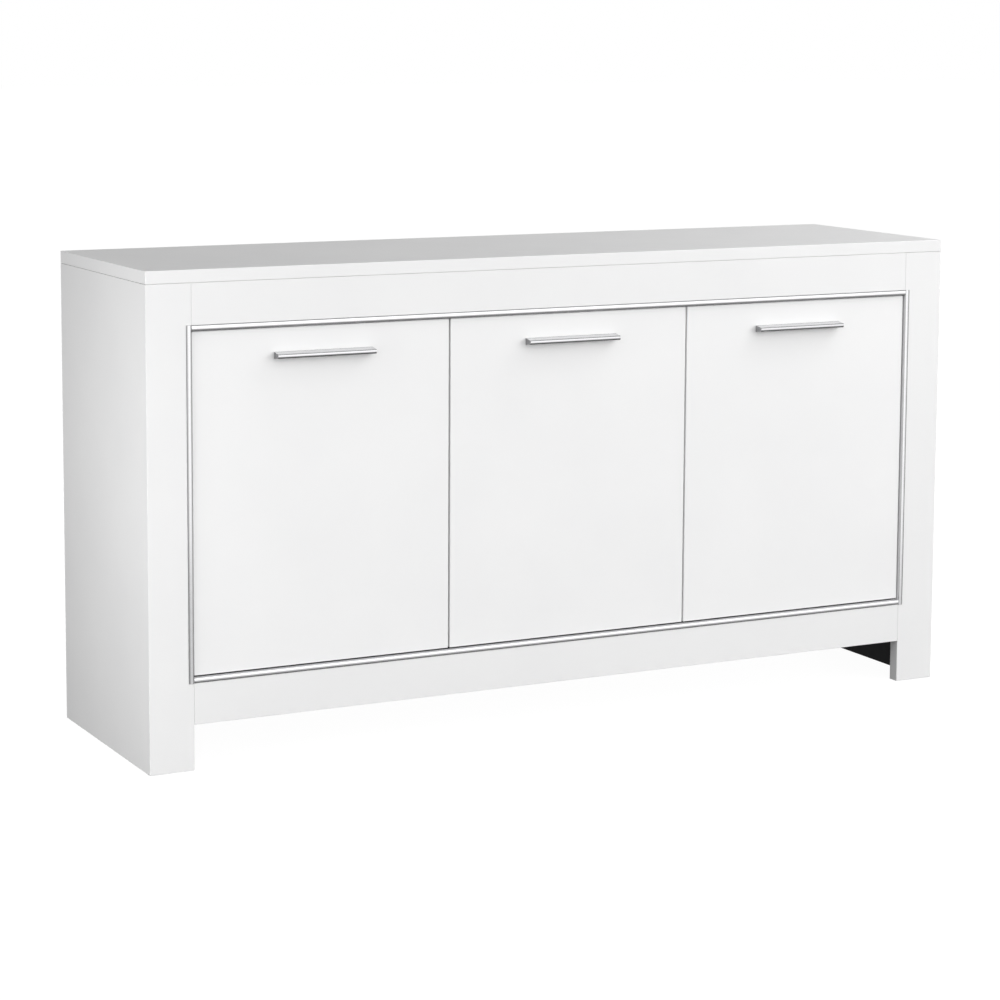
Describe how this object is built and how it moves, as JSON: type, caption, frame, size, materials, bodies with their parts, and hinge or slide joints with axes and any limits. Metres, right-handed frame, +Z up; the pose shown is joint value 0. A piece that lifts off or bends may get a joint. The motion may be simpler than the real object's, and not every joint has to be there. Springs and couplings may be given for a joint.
{
  "type": "sideboard buffet",
  "caption": "Low white sideboard with hinged doors, chrome trim round the doors, a chrome finger pull on each door, front posts down to the floor and shelves inside",
  "frame": {"origin": "on the floor, in the middle of the whole outline, pulls included", "axes": "+X to the right seen from the front, -Y out of the front, +Z up"},
  "size_m": [1.6, 0.451, 0.85],
  "materials": {
    "white_lacquer": "satin white lacquer",
    "charcoal_melamine": "fine-textured charcoal melamine",
    "hardboard": "raw brown hardboard",
    "chrome": "bright chrome",
    "nickel_plate": "nickel-plated steel"
  },
  "bodies": {
    "carcass": {"top_panel": "white_lacquer", "side_panel_left": "white_lacquer", "side_panel_right": "white_lacquer", "post_left": "white_lacquer", "post_right": "white_lacquer", "top_rail": "white_lacquer", "plinth_rail": "white_lacquer", "bottom_panel": "charcoal_melamine", "rear_rail": "charcoal_melamine", "partition_left": "charcoal_melamine", "partition_right": "charcoal_melamine", "hinge_batten_left": "charcoal_melamine", "hinge_batten_right": "charcoal_melamine", "shelf_left": "charcoal_melamine", "shelf_middle": "charcoal_melamine", "shelf_right": "charcoal_melamine", "back_panel": "hardboard", "trim_left": "chrome", "trim_right": "chrome", "trim_top": "chrome", "trim_bottom": "chrome", "hinge_arm_left_lower": "nickel_plate", "hinge_arm_left_upper": "nickel_plate", "hinge_arm_middle_lower": "nickel_plate", "hinge_arm_middle_upper": "nickel_plate", "hinge_arm_right_lower": "nickel_plate", "hinge_arm_right_upper": "nickel_plate", "hinge_plate_left_lower": "nickel_plate", "hinge_plate_left_upper": "nickel_plate", "hinge_plate_middle_lower": "nickel_plate", "hinge_plate_middle_upper": "nickel_plate", "hinge_plate_right_lower": "nickel_plate", "hinge_plate_right_upper": "nickel_plate", "shelf_pin_left_left_front": "nickel_plate", "shelf_pin_left_left_rear": "nickel_plate", "shelf_pin_left_right_front": "nickel_plate", "shelf_pin_left_right_rear": "nickel_plate", "shelf_pin_middle_left_front": "nickel_plate", "shelf_pin_middle_left_rear": "nickel_plate", "shelf_pin_middle_right_front": "nickel_plate", "shelf_pin_middle_right_rear": "nickel_plate", "shelf_pin_right_left_front": "nickel_plate", "shelf_pin_right_left_rear": "nickel_plate", "shelf_pin_right_right_front": "nickel_plate", "shelf_pin_right_right_rear": "nickel_plate"},
    "door_left_leaf": {"door_left": "white_lacquer", "pull_left": "chrome", "hinge_cup_left_lower": "nickel_plate", "hinge_cup_left_upper": "nickel_plate"},
    "door_middle_leaf": {"door_middle": "white_lacquer", "pull_middle": "chrome", "hinge_cup_middle_lower": "nickel_plate", "hinge_cup_middle_upper": "nickel_plate"},
    "door_right_leaf": {"door_right": "white_lacquer", "pull_right": "chrome", "hinge_cup_right_lower": "nickel_plate", "hinge_cup_right_upper": "nickel_plate"}
  },
  "joints": [
    {"name": "door_left_hinge", "type": "hinge", "parent": "carcass", "child": "door_left_leaf", "pos_m": [-0.7062, -0.1979, 0.4535], "axis": [0, 0, -1], "range_deg": [0, 95]},
    {"name": "door_middle_hinge", "type": "hinge", "parent": "carcass", "child": "door_middle_leaf", "pos_m": [-0.22657, -0.1979, 0.4535], "axis": [0, 0, -1], "range_deg": [0, 95]},
    {"name": "door_right_hinge", "type": "hinge", "parent": "carcass", "child": "door_right_leaf", "pos_m": [0.7062, -0.1979, 0.4535], "axis": [0, 0, 1], "range_deg": [0, 95]}
  ]
}
